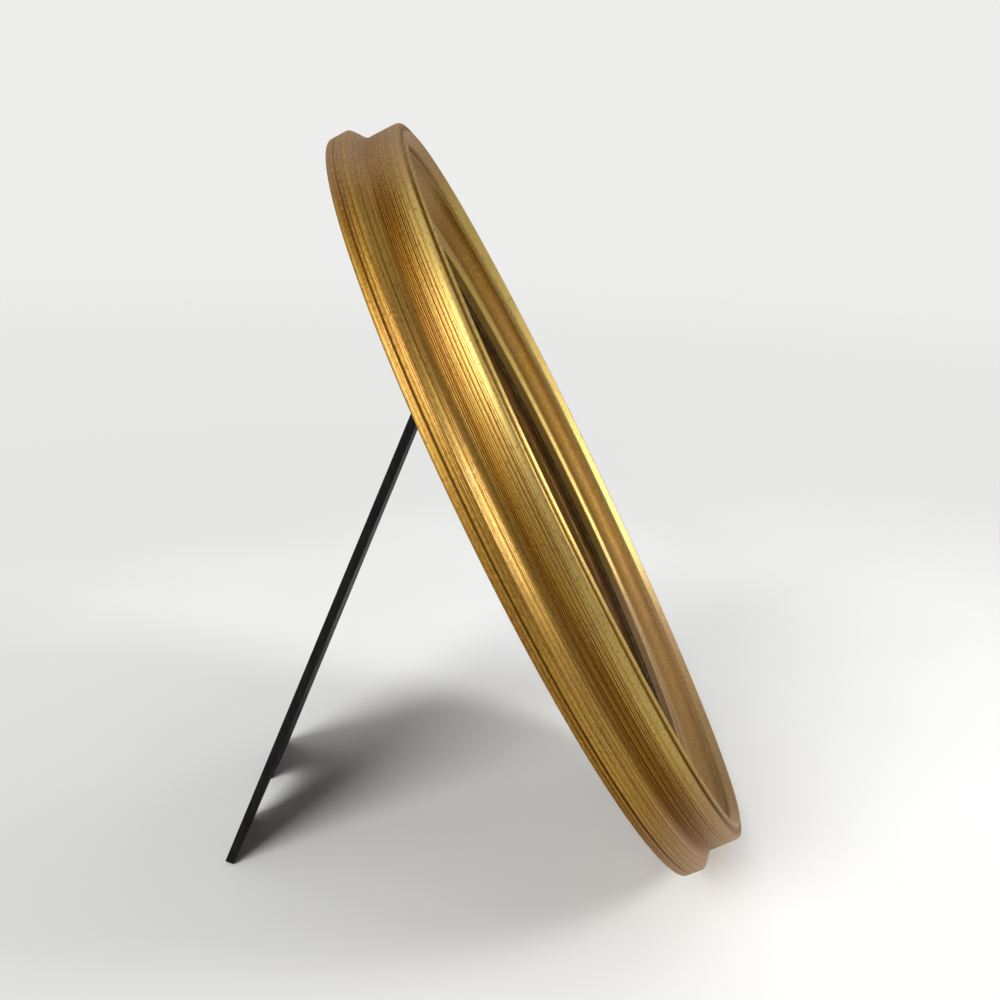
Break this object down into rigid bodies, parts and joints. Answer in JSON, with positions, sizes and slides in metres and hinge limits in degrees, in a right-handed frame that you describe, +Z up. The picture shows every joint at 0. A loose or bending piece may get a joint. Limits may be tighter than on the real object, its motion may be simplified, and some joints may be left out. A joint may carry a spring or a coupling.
{
  "type": "oval easel back picture frame",
  "caption": "Oval turned moulding in antique gold with glazing held in a rabbet by turn buttons, standing on a hinged tapered strut with an arched foot.",
  "frame": {"origin": "middle of the footprint, on the surface that the frame stands on", "axes": "+Z up, the picture side faces -Y and the strut is toward +Y, X runs across the picture"},
  "size_m": [0.1692, 0.1452, 0.1969],
  "materials": {
    "gilt_wood": "metallic gold paint worn to brown along the turning lines",
    "glazing": "clear",
    "black_paper": "matt",
    "grey_card": "matt",
    "black_board": "black painted hardboard",
    "brass": "satin",
    "steel": "satin"
  },
  "bodies": {
    "framed_picture": {"moulding": "gilt_wood", "glass": "glazing", "picture_sheet": "black_paper", "filler_board": "grey_card", "easel_board": "black_board", "hinge_board_leaf": "brass", "hinge_pin": "steel", "board_rivet_left": "brass", "board_rivet_right": "brass", "turn_button_screw_top_right": "steel", "turn_button_screw_bottom_right": "steel", "turn_button_screw_bottom_left": "steel", "turn_button_screw_top_left": "steel"},
    "easel_strut": {"strut": "black_board", "hinge_strut_leaf": "brass", "strut_rivet_left": "brass", "strut_rivet_right": "brass"},
    "button_top_right": {"turn_button_top_right": "brass"},
    "button_bottom_right": {"turn_button_bottom_right": "brass"},
    "button_bottom_left": {"turn_button_bottom_left": "brass"},
    "button_top_left": {"turn_button_top_left": "brass"}
  },
  "joints": [
    {"name": "strut_fold", "type": "hinge", "parent": "framed_picture", "child": "easel_strut", "pos_m": [0, 0.01859, 0.13923], "axis": [1, 0, 0], "range_deg": [-49.3, 0]},
    {"name": "button_top_right_turn", "type": "hinge", "parent": "framed_picture", "child": "button_top_right", "pos_m": [0.02757, 0.03723, 0.17668], "axis": [0, 0.8763, -0.4818], "continuous": true},
    {"name": "button_bottom_right_turn", "type": "hinge", "parent": "framed_picture", "child": "button_bottom_right", "pos_m": [0.0547, -0.03891, 0.03819], "axis": [0, 0.8763, -0.4818], "continuous": true},
    {"name": "button_bottom_left_turn", "type": "hinge", "parent": "framed_picture", "child": "button_bottom_left", "pos_m": [-0.0547, -0.03891, 0.03819], "axis": [0, 0.8763, -0.4818], "continuous": true},
    {"name": "button_top_left_turn", "type": "hinge", "parent": "framed_picture", "child": "button_top_left", "pos_m": [-0.02757, 0.03723, 0.17668], "axis": [0, 0.8763, -0.4818], "continuous": true}
  ]
}
